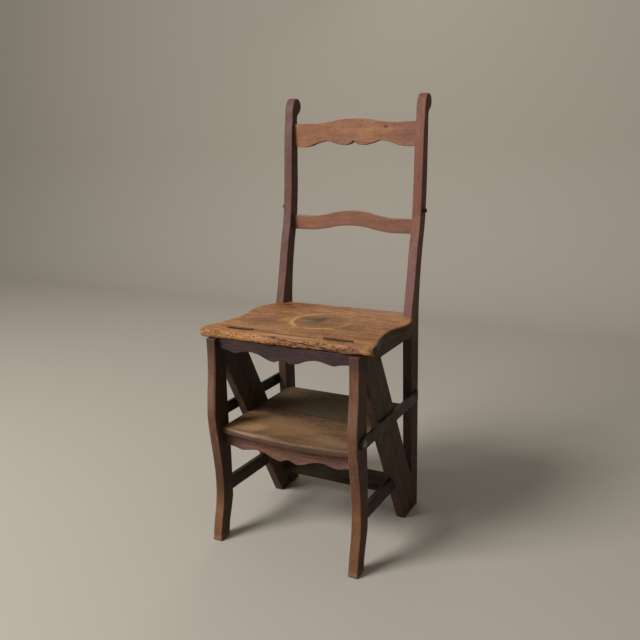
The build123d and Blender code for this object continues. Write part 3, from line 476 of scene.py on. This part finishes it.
class Wood:
    # one wood material while it is put together: colour, hollows and shine, from a finish

    def __init__(self, name, finish, grain):
        self.finish = finish
        self.material, self.tree = startMaterial(name)
        tree = self.tree
        self.where = add(tree, "ShaderNodeTexCoord", out="Object")
        self.turned = add(tree, "ShaderNodeMapping", {
            "Vector": self.where, "Rotation": grainTurns[grain]})
        # the surface as if every arris were rubbed round, and how much that turns it
        self.rounded = add(tree, "ShaderNodeBevel", {"Radius": finish["rounding"] * mm}, samples=6)
        flat = add(tree, "ShaderNodeNewGeometry", out="Normal")
        self.turn = add(tree, "ShaderNodeVectorMath", {0: self.rounded, 1: flat},
                        operation="DOT_PRODUCT")
        facing = add(tree, "ShaderNodeVectorTransform", {0: self.rounded},
                     vector_type="NORMAL", convert_from="WORLD", convert_to="OBJECT")
        facingX = add(tree, "ShaderNodeSeparateXYZ", {0: facing}, out="X")
        # what a layer can go by: height over the floor, and which way the rounded surface faces
        self.ways = {
            "height": add(tree, "ShaderNodeSeparateXYZ", {0: self.where}, out="Z"),
            "sideways": add(tree, "ShaderNodeMath", {0: facingX}, operation="ABSOLUTE"),
            "upward": add(tree, "ShaderNodeSeparateXYZ", {0: facing}, out="Z"),
        }
        # base to light by figure and fibre, then blooms, rubbed places, pores and flecks
        figure = grained(tree, wavered(tree, self.turned, *finish["figureWaver"]), finish["figure"])
        fiber = grained(tree, self.turned, finish["fiber"])
        pore = grained(tree, self.turned, finish["pore"])
        # tone is a half, plus four times each pattern's share of its swing about a half
        tone = 0.5
        for pattern, share in ((figure, finish["figureShare"]), (fiber, finish["fiberShare"])):
            swing = add(tree, "ShaderNodeMath", {0: pattern, 1: 0.5}, operation="SUBTRACT")
            tone = add(tree, "ShaderNodeMath", {0: swing, 1: 4 * share, 2: tone},
                       operation="MULTIPLY_ADD")
        self.color = linear(finish["base"])
        self.stain("light", 1.0, (tone, *finish["lightRamp"]))
        cloud = grained(tree, self.where, finish["cloud"])
        self.stain("bloom", finish["bloomShare"], (cloud, *finish["bloomRamp"]))
        rub = grained(tree, self.turned, finish["rub"])
        self.stain("honey", finish["honeyShare"], (rub, *finish["honeyRamp"]))
        self.stain("deep", finish["poreShare"], (pore, *finish["poreRamp"]))
        fleck = grained(tree, self.turned, finish["fleck"])
        self.stain("light", finish["fleckShare"], (fleck, *finish["paleFleckRamp"]))
        self.stain("deep", finish["fleckShare"], (fleck, *finish["darkFleckRamp"]))
        self.unstained = self.color
        # height: fibre times its rise, plus 1 where there is no pore
        solid = mask(tree, 1.0, (pore, *reversed(finish["poreRamp"])))
        self.relief = add(tree, "ShaderNodeMath", {
            0: fiber, 1: finish["fiberRise"], 2: solid}, operation="MULTIPLY_ADD")
        self.cuts = 0.0

    def stain(self, shade, share, *factors):
        # a shade is a hex colour, or names one of the finish
        shade = self.finish.get(shade, shade)
        self.color = stained(self.tree, self.color, shade, share, *factors)

    def spot(self, shade, share, middle, reach, edge=0.7, waver=12):
        # an ellipsoid of this shade, whose edge fades and wavers
        where = wavered(self.tree, self.where, self.finish["spotWaver"], waver)
        self.stain(shade, share, ellipsoid(self.tree, where, middle, reach, edge))

    def rubEdges(self, shade, share):
        # pale, here more and there less, where the arrises are worn
        finish = self.finish
        patches = grained(self.tree, self.turned, finish["arrisPatches"])
        self.stain(shade, share, (self.turn, *finish["arrisRamp"]),
                   (patches, *finish["arrisPatchRamp"]))

    def ring(self, ring):
        # what lies inside an outer round and outside an inner one, broken by random gaps
        tree, edge = self.tree, ring["edge"]
        where = wavered(tree, self.where, self.finish["spotWaver"], ring["waver"])
        outer = ellipsoid(tree, where, ring["middle"], ring["reach"], edge)
        inner = ellipsoid(tree, where, ring["insideMiddle"], ring["insideReach"], edge)
        between = add(tree, "ShaderNodeMath", {0: outer, 1: inner}, operation="SUBTRACT")
        gaps = grained(tree, self.where, ring["gaps"])
        self.stain(ring["shade"], ring["share"], (gaps, *ring["gapRamp"]), between)

    def cleanUnderside(self):
        # no stain goes through the board: faces that look down keep the plain wood
        below = mask(self.tree, 1.0, (self.ways["upward"], *self.finish["undersideRamp"]))
        sockets = {0: below, 6: self.color, 7: self.unstained}
        self.color = add(self.tree, "ShaderNodeMix", sockets, data_type="RGBA")

    def cut(self, share, *factors):
        # a hollow, as deep as the finish says where the mask is 1
        hollow = mask(self.tree, share, *factors)
        self.cuts = add(self.tree, "ShaderNodeMath", {0: self.cuts, 1: hollow}, operation="MAXIMUM")

    def lay(self, layers):
        # each layer is a way and its values: a method above, or a ramp by height over the floor
        # or by where the surface faces, which is its shade, its share, and the ramp's low and high
        methods = {"spot": self.spot, "rubEdges": self.rubEdges, "ring": self.ring,
                   "cleanUnderside": self.cleanUnderside}
        for way, *values in layers:
            if way in self.ways:
                shade, share, low, high = values
                self.stain(shade, share, (self.ways[way], low, high))
            else:
                methods[way](*values)

    def finished(self):
        # roughness goes with a cloud, and relief, dents and hollows are bumps one over the other
        tree, finish = self.tree, self.finish
        (low, high), (smooth, dull) = finish["shineRamp"], finish["roughness"]
        rough = add(tree, "ShaderNodeMapRange", {
            "Value": grained(tree, self.where, finish["shine"]), "From Min": low, "From Max": high,
            "To Min": smooth, "To Max": dull})
        bump = add(tree, "ShaderNodeBump", {
            "Height": self.relief, "Strength": finish["relief"],
            "Distance": finish["reliefDepth"] * mm, "Normal": self.rounded})
        bump = add(tree, "ShaderNodeBump", {
            "Height": grained(tree, self.turned, finish["dents"]),
            "Strength": finish["dentStrength"], "Distance": finish["dentDepth"] * mm,
            "Normal": bump})
        if isinstance(self.cuts, bpy.types.NodeSocket):
            bump = add(tree, "ShaderNodeBump", {
                "Height": self.cuts, "Strength": 1.0, "Distance": finish["cutDepth"] * mm,
                "Normal": bump}, invert=True)
        endMaterial(tree, {
            "Base Color": self.color, "Roughness": rough, "Normal": bump,
            "Specular IOR Level": finish["specular"]})
        return self.material


def layeredWood(name, finish, grain, layers):
    # a finish with its grain along one way, and layers over it
    wood = Wood(name, finish, grain)
    wood.lay(layers)
    return wood.finished()


# Layers over the wood, the lowest first. A spot is its shade, share, middle and reach in metres,
# and where they aren't the usual ones, the share of it that fades and how far its edge wavers.
# Height, sideways and upward are a shade, its share, and where the ramp is 0 and where it is 1
plainLayers = (("rubEdges", "honey", 0.5),)
railPaintedLightLayers = (  # painted highlight along the top edge, and painted shade under the bottom edge
    # painted highlight where the rounded edge looks up
    ("upward", "b58a68", 0.5, 0.15, 0.6),
    # painted shade where the rounded edge looks down
    ("upward", "2c1b14", 0.9, -0.1, -0.45),
)
crestLayers = railPaintedLightLayers + (  # duller at both ends, with one knot
    ("spot", "774b38", 0.45, (-0.115, 0.159, 0.835), (0.05, 0.02, 0.05)),
    ("spot", "734a48", 0.6, (0.128, 0.159, 0.83), (0.05, 0.02, 0.05), 0.9),
    ("spot", "30201a", 0.85, (0.0758, 0.159, 0.8439), (0.006, 0.02, 0.0035), 0.7, 1),
)
postPaintedShadeLayers = (  # pale worn arrises above the seat; painted shade on the sides and under the seat
    ("spot", "4d3c36", 0.55, (-0.2, 0.14, 0.65), (0.1, 0.2, 0.4), 0.2),  # left post, greyer
    ("spot", "7c4a35", 0.5, (0.155, 0.17, 0.73), (0.05, 0.1, 0.13)),  # right post, redder
    ("spot", "b37d58", 0.6, (0.140, 0.14, 0.72), (0.005, 0.08, 0.11), 0.8, 3),  # its inner arris
    ("spot", "7a585a", 0.5, (0.155, 0.10, 0.52), (0.05, 0.1, 0.09)),  # mauve over the seat
    ("sideways", "47302a", 0.55, 0.9, 0.99),  # painted shade on the sides
    ("rubEdges", "b88468", 0.7),
    # painted shade under the seat
    ("height", "33251c", 0.85, 0.47, 0.38),
)
legPaintedShadeLayers = (  # golden brown towards the feet, with pale arrises, and soles dark with dirt; painted shade under the seat, on the sides and inside the left leg
    ("height", "7d5330", 0.45, 0.26, 0.05),
    ("height", "3c2823", 0.7, 0.37, 0.43),  # painted shade under the seat
    ("spot", "7d5848", 0.7, (0, -0.19, 0.32), (0.5, 0.06, 0.055)),  # rubbed knees
    ("spot", "4a3021", 0.8, (-0.156, -0.17, 0.15), (0.03, 0.06, 0.09)),  # left ankle
    # painted shade on the sides
    ("sideways", "2d261c", 0.75, 0.9, 0.99),
    ("spot", "19110b", 0.6, (-0.145, -0.15, 0.33), (0.012, 0.06, 0.14), 0.4, 3),  # painted shade on the left leg's inside face
    ("rubEdges", "a27558", 0.6),
    ("height", "9c7c5f", 0.3, 0.016, 0.007),  # scuffed just over the soles
    ("height", "241a14", 0.85, 0.0045, 0.0),
)
stringLayers = (  # the slanted boards: dark, and redder where their low ends were kicked
    ("rubEdges", "honey", 0.5),
    ("height", "4a2c1f", 0.45, 0.16, 0.03),
)
treadApronPaintedShadeLayers = (  # rubbed along its scallops, with painted shade at the left end
    # painted shade at the left end
    ("spot", "45312b", 0.65, (-0.125, -0.16, 0.225), (0.05, 0.03, 0.03)),
    ("rubEdges", "94694f", 0.7),
)
apronLayers = (("rubEdges", "7a4f3a", 0.7),)  # dark purple, partly painted shade, and warm along its scallops
treadPaintedLightLayers = (  # shoes keep the front tread's middle pale and dust settles at the ends; painted shade behind and on the front edge, painted highlights at the left front and along the front arris
    ("spot", "997550", 0.6, (-0.03, -0.12, 0.248), (0.13, 0.05, 0.03)),  # where shoes tread
    ("spot", "96765a", 0.6, (0.09, -0.15, 0.248), (0.07, 0.03, 0.03)),
    # a pale worn patch, brightened further as painted light where the left leg's shadow falls
    ("spot", "b08a62", 0.75, (-0.105, -0.142, 0.248), (0.055, 0.035, 0.03), 0.5),
    ("spot", "a68a70", 0.6, (-0.07, -0.176, 0.247), (0.09, 0.007, 0.03), 0.7, 4),  # painted highlight along the front arris
    ("spot", "463324", 0.55, (0.0, -0.042, 0.248), (0.25, 0.030, 0.03)),  # painted shade under the seat, behind
    ("spot", "a8825a", 0.6, (-0.09, -0.085, 0.248), (0.06, 0.035, 0.03), 0.8),
    ("spot", "1c140e", 0.9, (0.0, -0.033, 0.248), (0.25, 0.008, 0.03), 0.7, 2),  # the seam
    ("spot", "2a1d15", 0.9, (-0.158, -0.10, 0.245), (0.014, 0.10, 0.03), 0.4, 2),
    ("spot", "2a1d15", 0.9, (0.158, -0.10, 0.245), (0.014, 0.10, 0.03), 0.4, 2),
    ("height", "4b332c", 0.85, 0.2462, 0.2435),  # painted shade on the edge, below the top
    ("spot", "6a4d41", 0.55, (0.11, -0.165, 0.242), (0.09, 0.02, 0.012)),
    ("cleanUnderside",),
)
potRing = {  # the mark of a pot, in metres; its inner round is shifted, so it is widest at the left
    "shade": "cda366", "share": 0.85, "edge": 0.10, "waver": 5,
    "gaps": (34, 1, 3.0), "gapRamp": (0.30, 0.54),
    "middle": (0.012, -0.028, 0.4545), "reach": (0.069, 0.069, 0.06),
    "insideMiddle": (0.0145, -0.0262, 0.4545), "insideReach": (0.0635, 0.0635, 0.05),
}
seatPaintedLightLayers = (  # a pale broken ring, a grey burn in its middle, stains and rubbed places; painted sheen at the left front and rear right, and painted shade on the sides
    ("spot", "8a4f25", 0.75, (-0.11, 0.08, 0.454), (0.09, 0.05, 0.03)),  # the red rear corner
    ("spot", "4a2a18", 0.7, (-0.085, 0.092, 0.454), (0.022, 0.012, 0.03), 0.7, 6),  # its drips
    ("spot", "542a12", 0.85, (-0.127, 0.082, 0.454), (0.014, 0.010, 0.03), 0.7, 6),
    ("spot", "5c3016", 0.8, (-0.104, 0.060, 0.454), (0.012, 0.008, 0.03), 0.7, 6),
    ("spot", "70482f", 0.5, (0.15, -0.118, 0.454), (0.035, 0.022, 0.03)),
    ("spot", "a67d5c", 0.6, (0.10, 0.085, 0.454), (0.09, 0.035, 0.03)),  # painted sheen, rear right
    ("spot", "7a5040", 0.6, (-0.10, -0.075, 0.454), (0.07, 0.05, 0.03)),  # painted mauve sheen at the left front; duller at the right front
    ("spot", "754c33", 0.6, (0.09, -0.06, 0.454), (0.05, 0.035, 0.03)),
    ("spot", "6d4e30", 0.45, potRing["middle"], (0.062, 0.062, 0.04), 0.35, 5),  # in the ring
    ("spot", "ba8745", 0.8, (-0.062, -0.045, 0.4545), (0.022, 0.020, 0.03), 0.7, 6),  # yellow
    ("spot", "5a4733", 0.75, (-0.008, -0.028, 0.4545), (0.038, 0.030, 0.03), 0.7, 7),
    ("spot", "9a7c5e", 0.65, (-0.022, -0.036, 0.4545), (0.024, 0.014, 0.03), 0.7, 6),
    ("spot", "40382c", 0.75, (0.008, -0.018, 0.4545), (0.016, 0.034, 0.03), 0.9, 9),  # grey burn
    ("ring", potRing),
    ("spot", "c39a62", 0.7, (0.098, 0.028, 0.4545), (0.045, 0.004, 0.03), 0.7, 2),  # a scratch
    ("spot", "3a2216", 0.9, (0.158, -0.03, 0.4545), (0.016, 0.0035, 0.02), 0.7, 3),  # a gouge
    ("spot", "b0957a", 0.6, (0.135, 0.098, 0.4545), (0.035, 0.010, 0.03), 0.7, 4),
    ("cleanUnderside",),
    ("sideways", "30281c", 0.9, 0.4, 0.75),  # painted shade on the sawn sides
)
stripPaintedShadeLayers = (  # the nosing is rubbed pale on top; painted shade under its lip and on its ends
    ("spot", "c09468", 0.6, (0.0, -0.16, 0.455), (0.09, 0.012, 0.03), 0.7, 5),
    ("spot", "6f4830", 0.6, (0.14, -0.178, 0.447), (0.05, 0.012, 0.010), 0.7, 5),
    # painted shade under the lip
    ("height", "5c3a2a", 0.6, 0.446, 0.438),
    # painted shade on the ends
    ("sideways", "30281c", 0.85, 0.82, 0.97),
)
lipWear = {  # ramps in metres, as where a mask is 0 and where it is 1; and the marks' looks
    "waver": (9, 1.2),
    "front": (-0.164, -0.170), "top": (0.4542, 0.4515),  # the worn lip, by Y and by height
    "left": (-0.032, -0.012), "right": (0.134, 0.112),  # ends of the split, by X
    "end": (-0.174, -0.166), "endFacing": (0.3, 0.6),  # both end faces, in painted shade, by Y and facing
    "endPaintedShade": "30281c", "endShare": 0.85,
    "under": (0.001, -0.001), "underShade": "6a4634", "underShare": 0.4,  # wood under the split
    "over": (0.0012, 0.0002), "below": (-0.0022, -0.0008),  # the split itself, between these
    "splitShade": "24140d", "splitShare": 0.95,
    "ragged": (2.4, 6, 4.0),  # torn fibre, a pattern like those of the wood
    "crack": (0.54, 0.68), "crackShade": "4d2c1b", "crackShare": 0.85, "crackCut": 0.4,
    "crackElsewhere": 0.35, "crackInSplit": 0.65,  # the second is added to the first in the split
    "fiber": (0.46, 0.34), "fiberShade": "c9956a", "fiberShare": 0.6,
    "holeWaver": (8, 3), "holeShade": "1e120c", "holeShare": 0.85, "holeDepth": 0.010,
    "holeEdge": 0.5,
}
wormHoles = (  # place, length and width of the holes along the lip, in metres
    (0.152, -0.176, 0.448, 0.003, 0.0012), (0.143, -0.176, 0.4505, 0.002, 0.0010),
    (0.133, -0.174, 0.4455, 0.006, 0.0011), (0.121, -0.175, 0.443, 0.005, 0.0012),
    (0.164, -0.170, 0.450, 0.002, 0.0010), (0.109, -0.176, 0.4485, 0.003, 0.0010),
    (0.094, -0.174, 0.4515, 0.005, 0.0009), (0.138, -0.176, 0.447, 0.002, 0.0011),
    (-0.060, -0.176, 0.450, 0.003, 0.0009), (-0.118, -0.174, 0.446, 0.004, 0.0009),
)


def stripMaterial():
    # split and worm-eaten along the lower lip; the split lies where makeNosing cut it
    wood = Wood("wornElmNosing", seatWood, "x")
    wood.lay(stripPaintedShadeLayers)
    tree, wear = wood.tree, lipWear
    place = wavered(tree, wood.where, *wear["waver"])
    x, y, z = (add(tree, "ShaderNodeSeparateXYZ", {0: place}, out=axis) for axis in "XYZ")
    front = mask(tree, 1.0, (y, *wear["front"]))
    # painted shade on both end faces
    wood.stain(wear["endPaintedShade"], wear["endShare"],
               (wood.ways["sideways"], *wear["endFacing"]), (y, *wear["end"]))
    # height over the split: z less its line's height at this x
    slope = splitLine["slope"]
    lineAtZero = (splitLine["height"] - slope * splitLine["at"]) * mm
    fall = add(tree, "ShaderNodeMath", {0: x, 1: -slope, 2: -lineAtZero}, operation="MULTIPLY_ADD")
    over = add(tree, "ShaderNodeMath", {0: z, 1: fall}, operation="ADD")
    split = mask(tree, front, (x, *wear["left"]), (x, *wear["right"]))
    wood.stain(wear["underShade"], wear["underShare"], (over, *wear["under"]), split)
    wood.stain(wear["splitShade"], wear["splitShare"],
               (over, *wear["over"]), (over, *wear["below"]), split)
    # cracks and torn fibre on the lip, more along the split
    ragged = grained(tree, wood.turned, wear["ragged"])
    lip = mask(tree, front, (wood.ways["height"], *wear["top"]))
    amount = add(tree, "ShaderNodeMath", {
        0: split, 1: wear["crackInSplit"], 2: wear["crackElsewhere"]}, operation="MULTIPLY_ADD")
    crack = mask(tree, lip, (ragged, *wear["crack"]), amount)
    wood.cut(wear["crackCut"], crack)
    wood.stain(wear["crackShade"], wear["crackShare"], crack)
    wood.stain(wear["fiberShade"], wear["fiberShare"], (ragged, *wear["fiber"]), lip)
    place = wavered(tree, wood.where, *wear["holeWaver"])
    for x, y, z, length, width in wormHoles:
        reach = (length, wear["holeDepth"], width)
        hole = ellipsoid(tree, place, (x, y, z), reach, wear["holeEdge"])
        wood.cut(1.0, hole)
        wood.stain(wear["holeShade"], wear["holeShare"], hole)
    return wood.finished()


def dress(material, *pieces):
    # a piece is a CAD node's name, or a piece made here
    for piece in pieces:
        data = nodes[piece].data if isinstance(piece, str) else piece.data
        data.materials.clear()
        data.materials.append(material)


bothSides = ("left", "right")
slanted = [f"{half}_string_{side}" for half in ("front", "back") for side in bothSides]
dress(layeredWood("waxedBeechLeg", legWood, "z", legPaintedShadeLayers), "front_leg_left", "front_leg_right")
dress(layeredWood("waxedBeechPost", postWood, "z", postPaintedShadeLayers), "rear_post_left", "rear_post_right")
dress(layeredWood("waxedBeechCrest", railWood, "x", crestLayers), "crest_rail")
dress(layeredWood("waxedBeechRail", backRailWood, "x", railPaintedLightLayers), "back_rail")
dress(layeredWood("paintedShadeBeechSlanted", paintedShadeWood, "lean", stringLayers), *slanted)
dress(layeredWood("purpleBeechApronPaintedShade", apronPaintedShadeWood, "x", apronLayers), "front_apron")
dress(layeredWood("paintedShadeBeechCrosswise", paintedShadeWood, "x", plainLayers), "rear_seat_rail")
dress(layeredWood("waxedBeechTreadApron", treadApronWood, "x", treadApronPaintedShadeLayers), "tread_apron")
dress(layeredWood("paintedShadeBeechLengthwise", paintedShadeWood, "y", plainLayers),
      "seat_rail_left", "seat_rail_right")
dress(layeredWood("paintedShadeBeechLowRail", lowRailPaintedShadeWood, "y", plainLayers), *lowRails)
dress(layeredWood("rubbedElmSeat", seatWood, "x", seatPaintedLightLayers), "seat_panel")
dress(stripMaterial(), frontStrip)
dress(layeredWood("scuffedElmTread", treadWood, "x", treadPaintedLightLayers), "lower_tread")
dress(layeredWood("dustyElmTreadPaintedShade", backTreadDustAndPaintedShadeWood, "x", plainLayers), "upper_tread")
dress(layeredWood("darkElmTreadPaintedShade", topTreadPaintedShadeWood, "x", plainLayers), "top_tread")
dress(layeredWood("elmDowel", treadWood, "z", plainLayers), "strip_dowels", "panel_dowels")
print("wood dressed")

# Metal: iron forged by hand, blackened by handling, and a little turned steel. That gives the eye
# a dark satin with brown rust in clouds, and paler where clothes and shoes rub what looks up; on
# the hinges that pale is also a painted highlight, and their near black is partly painted shade.
# Grit and clouds are sizes in millimetres; forge scale is finer, and is drawn coarse enough to show
barIron = {
    "dark": "33322a", "pale": "4b493d", "rust": "3e3226", "worn": "56544a", "wornShare": 0.3,
    "grit": 2.0, "gritDetail": 4.0, "paleRamp": (0.4, 0.7),
    "cloud": 25, "cloudDetail": 3.0, "rustRamp": (0.5, 0.66), "wornRamp": (0.3, 0.85),
    "shineRamp": (0.35, 0.65), "roughness": (0.42, 0.56),
    "metallic": 0.75, "relief": 0.3, "reliefDepth": 0.4,
}
hingePaintedLightIron = {**barIron,  # hinges: rusty and near black, partly painted shade of their slots; the knuckles rubbed, with a painted highlight where they look up
    "dark": "17120e", "pale": "3c2f23", "rust": "4a301f", "worn": "7a5638", "wornShare": 0.75,
    "roughness": (0.45, 0.7), "grit": 1.6,
}
screwSteel = {**barIron,  # pivot screws and washers: dull grey
    "dark": "6a6562", "pale": "b3aba6", "rust": "4a3a30", "worn": "b3aba6", "wornShare": 0.2,
    "roughness": (0.3, 0.55), "grit": 1.2,
}


def metalMaterial(name, finish):
    # dark, then pale where grit stands up, rust in its clouds, and paler where it looks up: worn,
    # and on the hinges also a painted highlight
    material, tree = startMaterial(name)
    where = add(tree, "ShaderNodeTexCoord", out="Object")
    normal = add(tree, "ShaderNodeTexCoord", out="Normal")
    upward = add(tree, "ShaderNodeSeparateXYZ", {0: normal}, out="Z")
    grit = add(tree, "ShaderNodeTexNoise", {
        "Vector": where, "Scale": 1 / (finish["grit"] * mm), "Detail": finish["gritDetail"]})
    cloud = add(tree, "ShaderNodeTexNoise", {
        "Vector": where, "Scale": 1 / (finish["cloud"] * mm),
        "Detail": finish["cloudDetail"]})
    color = linear(finish["dark"])
    color = stained(tree, color, finish["pale"], 1.0, (grit, *finish["paleRamp"]))
    color = stained(tree, color, finish["rust"], 1.0, (cloud, *finish["rustRamp"]))
    # paler where it looks up: wear, and on the hinges also a painted highlight
    color = stained(tree, color, finish["worn"], finish["wornShare"], (upward, *finish["wornRamp"]))
    (low, high), (smooth, dull) = finish["shineRamp"], finish["roughness"]
    rough = add(tree, "ShaderNodeMapRange", {
        "Value": cloud, "From Min": low, "From Max": high, "To Min": smooth, "To Max": dull})
    relief = add(tree, "ShaderNodeBump", {
        "Height": grit, "Strength": finish["relief"], "Distance": finish["reliefDepth"] * mm})
    endMaterial(tree, {
        "Base Color": color, "Roughness": rough, "Normal": relief,
        "Metallic": finish["metallic"]})
    return material


leaves = [f"hinge_leaf_{half}_{side}" for half in ("front", "rear") for side in bothSides]
dress(metalMaterial("blackenedWroughtIron", barIron),
      "hook_bar_left", "hook_bar_right", "leg_studs", "post_studs")
dress(metalMaterial("rustyHingeIronPaintedLight", hingePaintedLightIron),
      *leaves, "hinge_pin_left", "hinge_pin_right", "front_leaf_screws", "rear_leaf_screws")
dress(metalMaterial("dullTurnedSteel", screwSteel), "pivot_screws", "pivot_washers")
print("iron dressed")
